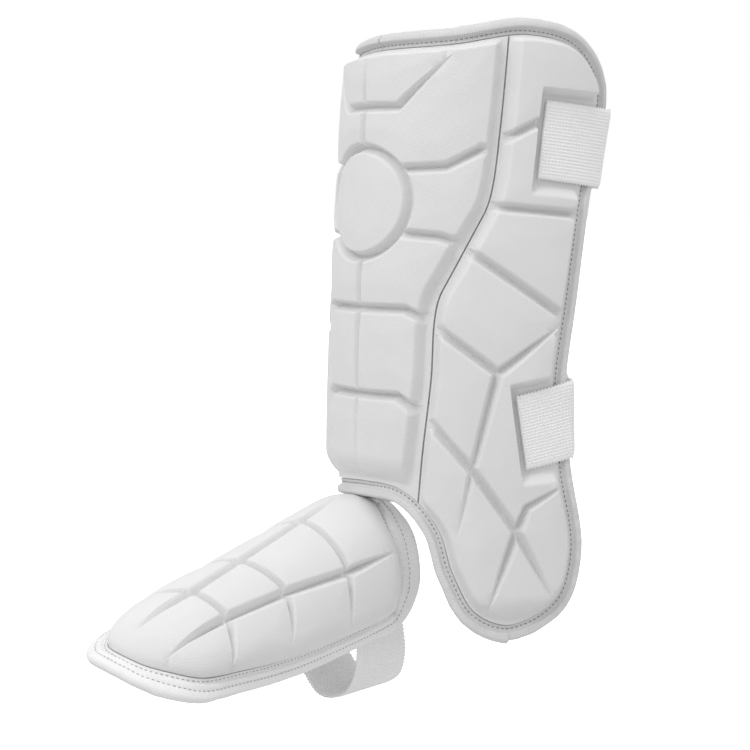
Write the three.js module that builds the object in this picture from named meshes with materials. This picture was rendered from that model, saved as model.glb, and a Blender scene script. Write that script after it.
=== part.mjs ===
import * as THREE from 'three';

// A batter's guard for the left leg: a padded shin guard with a foot guard hung below it.
// Millimetres. +X is the outer side of the leg, -Y is the front and +Z is up.
// The origin is on the leg's axis, at the height of the shin guard's lower front edge.

// Thicknesses of the layers
const LINER = 4;
const SHIN_FOAM = 10;
const FOOT_FOAM = 9;
const STITCHED_FOAM = 2.2;
const TAPE = 1.6;
const ELASTIC = 2;
const CLEARANCE = 0.4;
const SEAT = 0.9;
const LIP_SEAT = 0.54;

// Widths of the binding's lips and of the rounded borders of the foam
const SHIN_LIP = 9.5;
const FOOT_LIP = 11.5;
const EDGE_ROUND = 18;
const SEAM_ROUND = 8;
const FOOT_ROUND = 16;
const SEAM_GAP = 0.5;

// Grooves and recesses pressed into the foam
const GROOVE_HALF = 3.2;
const GROOVE_DEPTH = 5.5;
const CREASE_HALF = 2.4;
const CREASE_DEPTH = 3;
const TIP_SHARE = 0.25;
const RECESS_FLOOR = 2.4;
const RECESS_WALL = 2.4;
const BOSS = { around: -3, height: 168.5, radius: 31, sides: 30 };

// Spacing of the mesh along edges, along grooves and inside panels
const EDGE_STEP = 11;
const SEAM_STEP = 9;
const GROOVE_STEP = 7;
const PANEL_STEP = 15;
const PANEL_BACK_STEP = 13.05;
const LINER_STEP = 16;
const FOOT_STEP = 9;
const FOOT_PANEL_STEP = 12.6;
const FOOT_SHOULDER = 5;
const STRAP_STEPS = 4;

// Room kept between mesh points, as shares of a step or of a groove's half width
const FEATURE_ROOM = 0.75;
const FILL_ROOM = 0.62;
const SHOULDER_ROOM = 0.8;
const WALL_SIDE = 0.6;
const CROWDED = SEAM_STEP / 4;

// Sections of the sheet round the leg: a crest arc at the front and a flatter arc on each side
const LEG_BEND = 55;
const LEG_LEVELS = [
  { level: -90, crest: -72, crestRadius: 72, sideRadius: 150 },
  { level: -40, crest: -72, crestRadius: 72, sideRadius: 140 },
  { level: 0, crest: -71.5, crestRadius: 72, sideRadius: 125 },
  { level: 60, crest: -71, crestRadius: 71, sideRadius: 120 },
  { level: 120, crest: -69, crestRadius: 68, sideRadius: 120 },
  { level: 190, crest: -65, crestRadius: 62, sideRadius: 120 },
  { level: 270, crest: -60, crestRadius: 58, sideRadius: 125 },
];

// Sections of the sheet over the foot, from the toe back to the instep
const FOOT_BEND = 50;
const FOOT_LEVELS = [
  { level: 0, crest: 10, crestRadius: 55, sideRadius: 90 },
  { level: 30, crest: 0, crestRadius: 40, sideRadius: 90 },
  { level: 100, crest: 0, crestRadius: 32, sideRadius: 90 },
  { level: 160, crest: 0, crestRadius: 30, sideRadius: 90 },
  { level: 205, crest: 1.5, crestRadius: 30, sideRadius: 90 },
];

// Where the foot guard hangs: its toe, and its turns in degrees
const FOOT_TOE = { x: 34.4, y: -252.4, z: -62 };
const FOOT_TURN = { yaw: 11.5, pitch: 15.5, roll: 26 };

// The foot guard's outer rear edge turns outwards: its rise, the span of level + slant * around over which
// it rises, and the span of around over which it fades in
const FLARE = { rise: 5, slant: 1 / 3, span: [200, 222], fade: [5, 30] };

// Edges of the guards as [around, level], from the top of the crest down one side
const OUTER_EDGE = [
  [0, 264], [43, 266], [88, 272], [124, 263], [145, 236], [135, 170], [128, 113], [122, 62], [126, 20],
  [134, -30], [123, -63], [88, -80], [62, -70], [47, -44], [38, -18], [22, -3], [0, -1],
];
const INNER_EDGE = [
  [43, 261], [88, 261], [124, 251], [143, 230], [135, 170], [128, 113], [123, 62], [121, 24], [104, 4],
  [70, -7], [32, -3.5],
];
const FOOT_OUTER_EDGE = [
  [0, 213], [31, 208], [56.5, 199.5], [73, 183], [70, 155], [58, 84], [50, 50], [38, 18], [21, 2], [0, -7],
];
const FOOT_INNER_EDGE = [[31, 211], [58, 204], [75, 187], [70, 155], [58, 84], [51, 45], [43, 11], [28, -5]];

// Seam between the front panel and a side panel
const SEAM = [
  { level: -4, around: 35.7 },
  { level: 24, around: 38 },
  { level: 69, around: 42.6 },
  { level: 109, around: 44.2 },
  { level: 117, around: 46.2 },
  { level: 125, around: 50 },
  { level: 157, around: 65.1 },
  { level: 164, around: 68.4 },
  { level: 172, around: 70.7 },
  { level: 209, around: 74 },
  { level: 264, around: 76.2 },
];

// Grooves as lines of [around, level]; tip marks a line that fades towards its last point
const CREASES = [
  { line: [[-3, 248], [-3, 200]], tip: false },
  { line: [[-1, 137], [0, 17]], tip: false },
];
const FRONT_GROOVES = [
  { line: [[0, 222.5], [19.5, 222], [46, 250]], tip: true },
  { line: [[25, 187.5], [46, 188.5], [62, 197.5]], tip: false },
  { line: [[26, 151.5], [45, 149.7], [51, 147.5]], tip: false },
  { line: [[0, 109], [29, 109], [38, 104.5]], tip: false },
  { line: [[0, 60], [26, 60], [33.5, 54.5]], tip: false },
];
const SIDE_GROOVES = [
  { line: [[77, 204.5], [89.5, 211.3]], tip: false },
  { line: [[72, 166.3], [116, 162.2]], tip: false },
  { line: [[61.5, 140.5], [110, 107.2]], tip: false },
  { line: [[49, 96.4], [78, 73.5]], tip: false },
  { line: [[78, 73.5], [110, 98.5]], tip: true },
];
const EAR_GROOVES = [
  { line: [[78, 73.5], [65.5, 19], [59.5, -14]], tip: true },
  { line: [[46, 43.5], [65.5, 19], [89.7, -16.4]], tip: false },
  { line: [[89.7, -16.4], [110.5, -55]], tip: false },
  { line: [[89.7, -16.4], [75.5, -58]], tip: false },
  { line: [[89.7, -16.4], [95, -2.4], [117, 9.5]], tip: false },
];
const FOOT_NEAR_BAND = [[25.5, 180], [22.6, 144], [15.5, 98], [12, 54], [9.7, 14]];
const FOOT_FAR_BAND = [[-15, 183], [-13.5, 150], [-11.5, 94.5], [-9, 52.5], [-11.5, 16]];
const FOOT_CROSS = [
  { near: [22.6, 144], far: [-13.5, 150], side: [45, 134] },
  { near: [15.5, 98], far: [-11.5, 94.5], side: [34.5, 87] },
  { near: [12, 54], far: [-9, 52.5], side: [30.3, 41] },
];

// Straps: where each long edge lies on the outer side of its guard as [around, level], how far out it lies,
// and the way of each edge round to the other side as [across, back]
const CALF_WAY = [[67, 50], [42, 62], [0, 67], [-42, 62], [-67, 50]];
const LOW_CALF_WAY = [[60, 42], [39, 54], [0, 59], [-39, 54], [-60, 42]];
const ANKLE_WAY = [[66, 20], [46, 40.5], [0, 50], [-46, 40.5], [-66, 20]];
const LOW_ANKLE_WAY = [[70, 22], [47, 42], [0, 52], [-47, 42], [-70, 22]];
const UPPER_STRAP = {
  out: RECESS_FLOOR,
  lean: 0,
  top: { line: [[99.5, 226], [145, 221.5]], way: CALF_WAY },
  bottom: { line: [[96.5, 182], [138, 177]], way: LOW_CALF_WAY },
};
const LOWER_STRAP = {
  out: RECESS_FLOOR,
  lean: 0,
  top: { line: [[89.5, 60.2], [123.5, 68]], way: ANKLE_WAY },
  bottom: { line: [[96, 18.5], [124, 23.7]], way: LOW_ANKLE_WAY },
};
// The foot strap's lowest part lies this far towards the toe from its ends
const FOOT_STRAP_LEAN = 9;
const FOOT_STRAP = {
  out: -LINER - TAPE - CLEARANCE - ELASTIC - 2 * SEAT,
  lean: FOOT_STRAP_LEAN,
  top: { line: [[54, 196], [77, 199]], way: [[45, 78], [46, 94], [31, 107.6], [10, 101.6], [-14, 82]] },
  bottom: { line: [[60, 154], [73, 155]], way: [[40, 74], [38, 88], [25, 97.6], [6, 91.6], [-16, 76]] },
};
const RECESSES = [
  { top: [[94, 232], [150, 228]], bottom: [[90.5, 177], [150, 168]] },
  { top: [[84.5, 65.5], [150, 83]], bottom: [[91.5, 13], [150, 14]] },
];

// Hidden tab that joins the foot guard to the shin guard
const TAB = { halfWidth: 18, top: 30, bottom: -3.3, thick: 2, steps: 4 };

// White knit over foam, white tape and white elastic
const FOAM_LOOK = new THREE.MeshStandardMaterial({ color: 0xe6e6e6, roughness: 0.85, metalness: 0 });
const TAPE_LOOK = new THREE.MeshStandardMaterial({ color: 0xdcdcdc, roughness: 0.8, metalness: 0 });
const ELASTIC_LOOK = new THREE.MeshStandardMaterial({ color: 0xf2f2f2, roughness: 0.75, metalness: 0 });

const mix = (a, b, t) => a + (b - a) * t;
const clamp01 = (t) => Math.min(Math.max(t, 0), 1);
const share = (x, [low, high]) => clamp01((x - low) / (high - low));
const mixPoint = (p, q, t) => [mix(p[0], q[0], t), mix(p[1], q[1], t)];
const gapOf = (p, q) => Math.hypot(p[0] - q[0], p[1] - q[1]);
const mirrored = (line) => line.map(([around, level]) => [-around, level]);
const roundOff = (t) => Math.sqrt(1 - (1 - clamp01(t)) ** 2);

// A table's column at any level, as a smooth curve through its rows
function column(rows, key, level) {
  const last = rows.length - 1;
  const at = Math.min(Math.max(level, rows[0].level), rows[last].level);
  let i = 0;
  while (i < last - 1 && at > rows[i + 1].level) i += 1;
  const slope = (k) => (rows[k + 1][key] - rows[k][key]) / (rows[k + 1].level - rows[k].level);
  const bend = (k) => (slope(Math.max(k - 1, 0)) + slope(Math.min(k, last - 1))) / 2;
  const width = rows[i + 1].level - rows[i].level;
  const t = (at - rows[i].level) / width;
  const ease = t * t * (3 - 2 * t);
  const start = t * (1 - t) ** 2 * width * bend(i);
  const finish = t * t * (1 - t) * width * bend(i + 1);
  return mix(rows[i][key], rows[i + 1][key], ease) + start - finish;
}

// A sheet bent round the Z axis: around is measured along it from the crest, height is outwards from it
function sheet(levels, bendDegrees, riseAt) {
  const bend = THREE.MathUtils.degToRad(bendDegrees);
  return (around, level, height) => {
    const out = height + riseAt(around, level);
    const crest = column(levels, 'crest', level);
    const r = column(levels, 'crestRadius', level);
    const s = column(levels, 'sideRadius', level);
    const reach = Math.abs(around);
    const angle = reach < bend * r ? reach / r : bend + (reach - bend * r) / s;
    const onArc = Math.min(angle, bend);
    const sideways = r * Math.sin(onArc) + s * (Math.sin(angle) - Math.sin(onArc));
    const back = r * (1 - Math.cos(onArc)) + s * (Math.cos(onArc) - Math.cos(angle));
    const x = Math.sign(around) * (sideways + out * Math.sin(angle));
    return new THREE.Vector3(x, crest + back - out * Math.cos(angle), level);
  };
}
const noRise = () => 0;
const flareRise = (around, level) => {
  const rearwards = share(level + FLARE.slant * around, FLARE.span);
  return FLARE.rise * rearwards ** 2 * share(around, FLARE.fade);
};
const legSheet = sheet(LEG_LEVELS, LEG_BEND, noRise);
const soleSheet = sheet(FOOT_LEVELS, FOOT_BEND, noRise);
const footSheet = sheet(FOOT_LEVELS, FOOT_BEND, flareRise);

// An even closed loop through an edge's points, clockwise as seen from outside
function edgeLoop(points, step) {
  const corners = points.map(([a, l]) => new THREE.Vector3(a, l, 0));
  const curve = new THREE.CatmullRomCurve3(corners, true, 'centripetal');
  const count = Math.round(curve.getLength() / step);
  return curve.getSpacedPoints(count).slice(0, count).map((p) => [p.x, p.y]);
}

// A loop moved inwards by a distance
function inset(loop, distance) {
  const count = loop.length;
  return loop.map((p, i) => {
    const before = loop[(i + count - 1) % count];
    const after = loop[(i + 1) % count];
    const length = gapOf(before, after);
    return [
      p[0] + (distance * (after[1] - before[1])) / length,
      p[1] - (distance * (after[0] - before[0])) / length,
    ];
  });
}

// Distance of a point from a line, and how far along the line that is, from 0 to 1
function nearest(point, line) {
  let best = { apart: Infinity, along: 0 };
  const total = line.slice(1).reduce((sum, q, i) => sum + gapOf(line[i], q), 0);
  let walked = 0;
  for (let i = 0; i + 1 < line.length; i += 1) {
    const [p, q] = [line[i], line[i + 1]];
    const length = gapOf(p, q);
    const dot = (point[0] - p[0]) * (q[0] - p[0]) + (point[1] - p[1]) * (q[1] - p[1]);
    const t = clamp01(dot / length ** 2);
    const apart = gapOf(point, mixPoint(p, q, t));
    if (apart < best.apart) best = { apart, along: (walked + t * length) / total };
    walked += length;
  }
  return best;
}
const closed = (loop) => [...loop, loop[0]];

function within(point, loop) {
  let inside = false;
  loop.forEach((p, i) => {
    const q = loop[(i + 1) % loop.length];
    const crosses = p[1] > point[1] !== q[1] > point[1];
    if (crosses && point[0] < mix(p[0], q[0], (point[1] - p[1]) / (q[1] - p[1]))) inside = !inside;
  });
  return inside;
}

// Points along a line at an even step, ends included
function along(line, step) {
  const points = [line[0]];
  for (let i = 0; i + 1 < line.length; i += 1) {
    const steps = Math.max(1, Math.round(gapOf(line[i], line[i + 1]) / step));
    for (let k = 1; k <= steps; k += 1) points.push(mixPoint(line[i], line[i + 1], k / steps));
  }
  return points;
}

// The part of a loop where keep is positive, closed along the seam where the loop leaves it
function trim(loop, keep, seamPoint) {
  const at = (i) => loop[i % loop.length];
  const crossing = (p, q) => mixPoint(p, q, keep(p) / (keep(p) - keep(q)));
  const first = loop.findIndex((p, i) => keep(p) <= 0 && keep(at(i + 1)) > 0) + 1;
  const kept = [];
  for (let i = first; i < first + loop.length; i += 1) {
    if (keep(at(i)) <= 0) continue;
    kept.push(at(i));
    if (keep(at(i + 1)) > 0) continue;
    let j = i + 1;
    while (keep(at(j + 1)) <= 0) j += 1;
    const exit = crossing(at(i), at(i + 1));
    const entry = crossing(at(j), at(j + 1));
    const steps = Math.round(Math.abs(entry[1] - exit[1]) / SEAM_STEP);
    kept.push(exit);
    for (let k = 1; k < steps; k += 1) {
      kept.push(seamPoint(mix(exit[1], entry[1], k / steps), Math.sign(exit[0])));
    }
    kept.push(entry);
  }
  return kept.filter((p, i) => gapOf(p, kept[(i + 1) % kept.length]) > CROWDED);
}

// Delaunay triangles of a set of points, by adding one point at a time
function delaunay(points) {
  const far = 1e5;
  const nudge = 1e-4;
  const [turnAcross, turnUp] = [37, 53];
  const nudged = points.map(([a, l], i) => [
    a + nudge * Math.sin(i * turnAcross),
    l + nudge * Math.cos(i * turnUp),
  ]);
  const all = [...nudged, [-far, -far], [far, -far], [0, far]];
  const withCircle = (i, j, k) => {
    const [a, b, c] = [all[i], all[j], all[k]];
    const [bx, by, cx, cy] = [b[0] - a[0], b[1] - a[1], c[0] - a[0], c[1] - a[1]];
    const twice = 2 * (bx * cy - by * cx);
    const x = (cy * (bx * bx + by * by) - by * (cx * cx + cy * cy)) / twice;
    const y = (bx * (cx * cx + cy * cy) - cx * (bx * bx + by * by)) / twice;
    return { corners: [i, j, k], centre: [a[0] + x, a[1] + y], radius: Math.hypot(x, y) };
  };
  const count = points.length;
  let triangles = [withCircle(count, count + 1, count + 2)];
  for (let n = 0; n < count; n += 1) {
    const rim = new Map();
    triangles = triangles.filter(({ corners, centre, radius }) => {
      if (gapOf(nudged[n], centre) > radius) return true;
      corners.forEach((i, k) => {
        const j = corners[(k + 1) % 3];
        if (!rim.delete(`${j},${i}`)) rim.set(`${i},${j}`, [i, j]);
      });
      return false;
    });
    rim.forEach(([i, j]) => triangles.push(withCircle(i, j, n)));
  }
  return triangles.map(({ corners }) => corners).filter((corners) => corners.every((i) => i < count));
}

// Triangles inside a loop, which is the first of the points
function loopTriangles(points, loop) {
  const middle = (corners, k) => corners.reduce((sum, i) => sum + points[i][k], 0) / 3;
  return delaunay(points).filter((corners) => within([middle(corners, 0), middle(corners, 1)], loop));
}

// Points inside a loop: the given lines' points first, then an even fill, none of them crowded
function scatter(loop, featurePoints, step) {
  const border = closed(loop);
  const points = [...loop];
  const clear = (p, room) => points.every((q) => gapOf(p, q) > room);
  for (const p of featurePoints) {
    const off = within(p, loop) && nearest(p, border).apart > GROOVE_HALF;
    if (off && clear(p, GROOVE_HALF * FEATURE_ROOM)) points.push(p);
  }
  const lows = [0, 1].map((k) => Math.min(...loop.map((p) => p[k])));
  const highs = [0, 1].map((k) => Math.max(...loop.map((p) => p[k])));
  const rowStep = step * Math.sin(Math.PI / 3);
  for (let row = 0; lows[1] + row * rowStep < highs[1]; row += 1) {
    for (let a = lows[0] + ((row % 2) * step) / 2; a < highs[0]; a += step) {
      const p = [a, lows[1] + row * rowStep];
      const off = within(p, loop) && nearest(p, border).apart > step / 2;
      if (off && clear(p, step * FILL_ROOM)) points.push(p);
    }
  }
  return points;
}

function geometryOf(vertices, faces) {
  const geometry = new THREE.BufferGeometry().setFromPoints(vertices);
  return geometry.setIndex(faces.flat());
}

// A closed slab over a loop: an outer face of given heights, an inner face, and a wall round the loop
function slab(surface, loop, outerPoints, outerAt, innerPoints, innerOut) {
  const count = loop.length;
  const shift = outerPoints.length;
  const vertices = [
    ...outerPoints.map(([a, l]) => surface(a, l, outerAt([a, l]))),
    ...innerPoints.map(([a, l]) => surface(a, l, innerOut)),
  ];
  const faces = loopTriangles(outerPoints, loop);
  for (const [i, j, k] of loopTriangles(innerPoints, loop)) faces.push([shift + i, shift + k, shift + j]);
  loop.forEach((_, i) => {
    const j = (i + 1) % count;
    faces.push([i, j, shift + j], [i, shift + j, shift + i]);
  });
  return geometryOf(vertices, faces);
}

// Centre line and shoulders of each groove
function groovePoints(grooves) {
  const centres = grooves.flatMap(({ line }) => along(line, GROOVE_STEP));
  const shoulders = grooves.flatMap(({ line, half }) => {
    const points = along(line, GROOVE_STEP);
    return points.flatMap((p, i) => {
      const before = points[Math.max(i - 1, 0)];
      const after = points[Math.min(i + 1, points.length - 1)];
      const length = gapOf(before, after) || 1;
      const reach = half / length;
      const across = [(after[1] - before[1]) * reach, (before[0] - after[0]) * reach];
      return [1, -1].map((side) => [p[0] + side * across[0], p[1] + side * across[1]]);
    });
  });
  const free = (p) => grooves.every(({ line, half }) => nearest(p, line).apart > half * SHOULDER_ROOM);
  return [...centres, ...shoulders.filter(free)];
}

const grooveSet = (lines, half, depth) => lines.map((groove) => ({ ...groove, half, depth }));
const bothSides = (grooves) => [...grooves, ...grooves.map((g) => ({ ...g, line: mirrored(g.line) }))];

// How far the grooves cut into the foam at a point
function grooveCut(point, grooves) {
  const cuts = grooves.map(({ line, half, depth, tip }) => {
    const { apart, along: walked } = nearest(point, line);
    const fade = tip ? mix(1, TIP_SHARE, walked) : 1;
    return depth * fade * clamp01(1 - apart / half);
  });
  return Math.max(0, ...cuts);
}

// A strap recess, open at the guard's rear edge
const recessCorners = ({ top, bottom }) => [...top, bottom[1], bottom[0]];
const recessLine = ({ top, bottom }) => [top[1], top[0], bottom[0], bottom[1]];
function recessShare(point, recess) {
  const apart = nearest(point, recessLine(recess)).apart;
  const signed = within(point, recessCorners(recess)) ? apart : -apart;
  return clamp01(1 / 2 + signed / RECESS_WALL);
}
function recessPoints(recess) {
  const loop = recessCorners(recess);
  const walls = [1, -1].map((side) => inset(loop, side * RECESS_WALL * WALL_SIDE));
  return walls.flatMap(([topFront, topRear, bottomRear, bottomFront]) =>
    along([topRear, topFront, bottomFront, bottomRear], SEAM_STEP));
}

// Foam panel of the shin guard over a loop
function shinPanel(surface, loop, edge, grooves, recesses) {
  const heightAt = (p) => {
    const fromEdge = nearest(p, closed(edge)).apart;
    const fromSeam = Math.min(...seams.map((seam) => nearest(p, seam).apart));
    const rise = roundOff(fromEdge / EDGE_ROUND) * roundOff(fromSeam / SEAM_ROUND);
    const full = mix(STITCHED_FOAM, SHIN_FOAM, rise);
    const sunk = Math.max(0, ...recesses.map((recess) => recessShare(p, recess)));
    const pressed = mix(full, Math.min(full, RECESS_FLOOR), sunk);
    return Math.max(pressed - grooveCut(p, grooves), Math.min(pressed, STITCHED_FOAM));
  };
  const shoulder = inset(loop, SEAM_ROUND / 2);
  const features = [...recesses.flatMap(recessPoints), ...groovePoints(grooves), ...shoulder];
  const outer = scatter(loop, features, PANEL_STEP);
  const inner = scatter(loop, [], PANEL_BACK_STEP);
  return slab(surface, loop, outer, heightAt, inner, SEAT);
}

// Binding tape folded round an edge: [inset from the edge, outwards] round its section
function binding(surface, loop, lip) {
  const under = -LINER - SEAT;
  const fold = TAPE / 3;
  const half = TAPE / 2;
  const section = [
    [lip, LIP_SEAT], [TAPE, LIP_SEAT], [TAPE, under], [lip, under],
    [lip, under - TAPE], [fold, under - half], [fold, LIP_SEAT + half], [lip, LIP_SEAT + TAPE],
  ];
  const rings = section.map(([depth, out]) => inset(loop, depth).map(([a, l]) => surface(a, l, out)));
  const count = loop.length;
  const faces = [];
  rings.forEach((_, r) => {
    const next = (r + 1) % rings.length;
    for (let i = 0; i < count; i += 1) {
      const j = (i + 1) % count;
      faces.push([r * count + i, next * count + i, next * count + j]);
      faces.push([r * count + i, next * count + j, r * count + j]);
    }
  });
  return geometryOf(rings.flat(), faces);
}

// Backing sheet inside a binding
function liner(surface, loop, step) {
  const border = inset(loop, TAPE + CLEARANCE);
  const points = scatter(border, [], step);
  return slab(surface, border, points, () => 0, points, -LINER);
}

// One face's edge of a strap: along the sheet, round its way, and back along the sheet on the other side
function strapLine(surface, { line, way }, lean, out, lift) {
  const shares = Array.from({ length: STRAP_STEPS + 1 }, (_, i) => i / STRAP_STEPS);
  const onSheet = shares.map((t) => mixPoint(line[0], line[1], t));
  const start = onSheet.map(([a, l]) => surface(a, l, out));
  const finish = onSheet.map(([a, l]) => surface(-a, l, out)).reverse();
  const [from, to] = [start[STRAP_STEPS], finish[0]];
  const stops = [[from.x, from.y], ...way, [to.x, to.y]];
  const round = way.map(([x, y], i) => {
    const [before, after] = [stops[i], stops[i + 2]];
    const length = gapOf(before, after);
    const outwards = [(after[1] - before[1]) / length, (before[0] - after[0]) / length];
    const low = 1 - Math.abs((2 * (i + 1)) / (way.length + 1) - 1);
    return new THREE.Vector3(x + lift * outwards[0], y + lift * outwards[1], from.z - lean * low);
  });
  const stations = [start[STRAP_STEPS - 1], from, ...round, to, finish[1]];
  const curve = new THREE.CatmullRomCurve3(stations, false, 'centripetal');
  const spans = round.length + 3;
  const middle = Array.from({ length: (spans - 2) * STRAP_STEPS - 1 }, (_, i) => {
    return curve.getPoint((1 + (i + 1) / STRAP_STEPS) / spans);
  });
  return [...start, ...middle, ...finish];
}

// A strap as a whole loop with both ends on the guard
function strap(surface, { out, lean, top, bottom }) {
  const under = out + SEAT;
  const lines = [
    strapLine(surface, bottom, lean, under + ELASTIC, ELASTIC),
    strapLine(surface, top, lean, under + ELASTIC, ELASTIC),
    strapLine(surface, top, lean, under, 0),
    strapLine(surface, bottom, lean, under, 0),
  ];
  const length = lines[0].length;
  const faces = [];
  lines.forEach((_, r) => {
    const next = (r + 1) % lines.length;
    for (let i = 0; i + 1 < length; i += 1) {
      faces.push([r * length + i, r * length + i + 1, next * length + i + 1]);
      faces.push([r * length + i, next * length + i + 1, next * length + i]);
    }
  });
  const ends = lines.map((_, r) => r * length);
  faces.push([ends[0], ends[1], ends[2]], [ends[0], ends[2], ends[3]]);
  const last = ends.map((i) => i + length - 1);
  faces.push([last[0], last[2], last[1]], [last[0], last[3], last[2]]);
  return geometryOf(lines.flat(), faces);
}

function piece(name, geometry, look) {
  const mesh = new THREE.Mesh(geometry, look);
  mesh.name = name;
  return mesh;
}

// Shin guard
const shinLoop = edgeLoop([...OUTER_EDGE, ...mirrored(INNER_EDGE).reverse()], EDGE_STEP);
const foamLoop = inset(shinLoop, SHIN_LIP + CLEARANCE);
const seamAround = (level) => column(SEAM, 'around', level);
const seamLine = (side) => along(SEAM.map(({ level, around }) => [side * around, level]), SEAM_STEP);
const frontLoop = trim(
  foamLoop,
  ([a, l]) => seamAround(l) - SEAM_GAP - Math.abs(a),
  (l, side) => [side * (seamAround(l) - SEAM_GAP), l],
);
const seams = [seamLine(1), seamLine(-1)];
const sideLoop = (side) => trim(
  foamLoop,
  ([a, l]) => side * a - seamAround(l) - SEAM_GAP,
  (l) => [side * (seamAround(l) + SEAM_GAP), l],
);
const bossLine = Array.from({ length: BOSS.sides + 1 }, (_, i) => {
  const turn = (i / BOSS.sides) * 2 * Math.PI;
  return [BOSS.around + BOSS.radius * Math.cos(turn), BOSS.height + BOSS.radius * Math.sin(turn)];
});
const frontGrooves = [
  ...grooveSet([{ line: bossLine, tip: false }], GROOVE_HALF, GROOVE_DEPTH),
  ...grooveSet(CREASES, CREASE_HALF, CREASE_DEPTH),
  ...grooveSet(bothSides(FRONT_GROOVES), GROOVE_HALF, GROOVE_DEPTH),
];
const outerGrooves = grooveSet([...SIDE_GROOVES, ...EAR_GROOVES], GROOVE_HALF, GROOVE_DEPTH);
const innerGrooves = grooveSet(SIDE_GROOVES, GROOVE_HALF, GROOVE_DEPTH);

// The inner panel is worked out as an outer one and mirrored
function innerPanel() {
  const flipped = (loop) => mirrored(loop).reverse();
  const mirrorSheet = (a, l, out) => legSheet(-a, l, out);
  const geometry = shinPanel(mirrorSheet, flipped(sideLoop(-1)), flipped(foamLoop), innerGrooves, RECESSES);
  return geometry.setIndex([...geometry.index.array].reverse());
}

// Foot guard
const footLoop = edgeLoop([...FOOT_OUTER_EDGE, ...mirrored(FOOT_INNER_EDGE).reverse()], FOOT_STEP);
const footFoamLoop = inset(footLoop, FOOT_LIP + CLEARANCE);
const footLines = [
  { line: FOOT_NEAR_BAND, tip: false },
  { line: FOOT_FAR_BAND, tip: false },
  ...FOOT_CROSS.map(({ near, far }) => ({ line: [near, far], tip: false })),
  ...FOOT_CROSS.map(({ near, side }) => ({ line: [near, side], tip: true })),
  ...FOOT_CROSS.map(({ far, side }) => ({ line: [far, ...mirrored([side])], tip: true })),
];
const footGrooves = grooveSet(footLines, GROOVE_HALF, GROOVE_DEPTH);

function footFoam() {
  const heightAt = (p) => {
    const fromEdge = nearest(p, closed(footFoamLoop)).apart;
    const full = mix(STITCHED_FOAM, FOOT_FOAM, roundOff(fromEdge / FOOT_ROUND));
    return Math.max(full - grooveCut(p, footGrooves), STITCHED_FOAM);
  };
  const features = [...groovePoints(footGrooves), ...inset(footFoamLoop, FOOT_SHOULDER)];
  const outer = scatter(footFoamLoop, features, FOOT_PANEL_STEP);
  return slab(footSheet, footFoamLoop, outer, heightAt, scatter(footFoamLoop, [], FOOT_STEP), SEAT);
}

// Plain plate inside the shin guard's lower front edge
function tab() {
  const back = -LINER - TAPE - 2 * SEAT;
  const shares = Array.from({ length: TAB.steps + 1 }, (_, i) => i / TAB.steps);
  const arounds = shares.map((t) => mix(-TAB.halfWidth, TAB.halfWidth, t));
  const loop = [
    ...arounds.map((a) => [a, TAB.top]),
    ...arounds.map((a) => [-a, TAB.bottom]),
  ];
  return slab(legSheet, loop, loop, () => back, loop, back - TAB.thick);
}

const foot = new THREE.Group();
foot.add(piece('foot_liner', liner(footSheet, footLoop, FOOT_STEP), FOAM_LOOK));
foot.add(piece('foot_shell', footFoam(), FOAM_LOOK));
foot.add(piece('foot_binding', binding(footSheet, footLoop, FOOT_LIP), TAPE_LOOK));
foot.add(piece('foot_strap', strap(soleSheet, FOOT_STRAP), ELASTIC_LOOK));
foot.rotation.z = THREE.MathUtils.degToRad(FOOT_TURN.roll);
const footPitch = new THREE.Group();
footPitch.add(foot);
footPitch.rotation.x = THREE.MathUtils.degToRad(FOOT_TURN.pitch - 90);
const footPlace = new THREE.Group();
footPlace.add(footPitch);
footPlace.rotation.z = THREE.MathUtils.degToRad(FOOT_TURN.yaw);
footPlace.position.set(FOOT_TOE.x, FOOT_TOE.y, FOOT_TOE.z);

const guard = new THREE.Group();
guard.add(piece('shin_liner', liner(legSheet, shinLoop, LINER_STEP), FOAM_LOOK));
guard.add(piece('front_shell', shinPanel(legSheet, frontLoop, foamLoop, frontGrooves, []), FOAM_LOOK));
const outerPanel = shinPanel(legSheet, sideLoop(1), foamLoop, outerGrooves, RECESSES);
guard.add(piece('outer_shell', outerPanel, FOAM_LOOK));
guard.add(piece('inner_shell', innerPanel(), FOAM_LOOK));
guard.add(piece('shin_binding', binding(legSheet, shinLoop, SHIN_LIP), TAPE_LOOK));
guard.add(piece('upper_strap', strap(legSheet, UPPER_STRAP), ELASTIC_LOOK));
guard.add(piece('lower_strap', strap(legSheet, LOWER_STRAP), ELASTIC_LOOK));
guard.add(piece('instep_tab', tab(), FOAM_LOOK));
guard.add(footPlace);

export default guard;
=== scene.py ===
import math

import bpy
import numpy as np
from mathutils import Matrix, Vector
from mathutils.geometry import delaunay_2d_cdt


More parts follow.
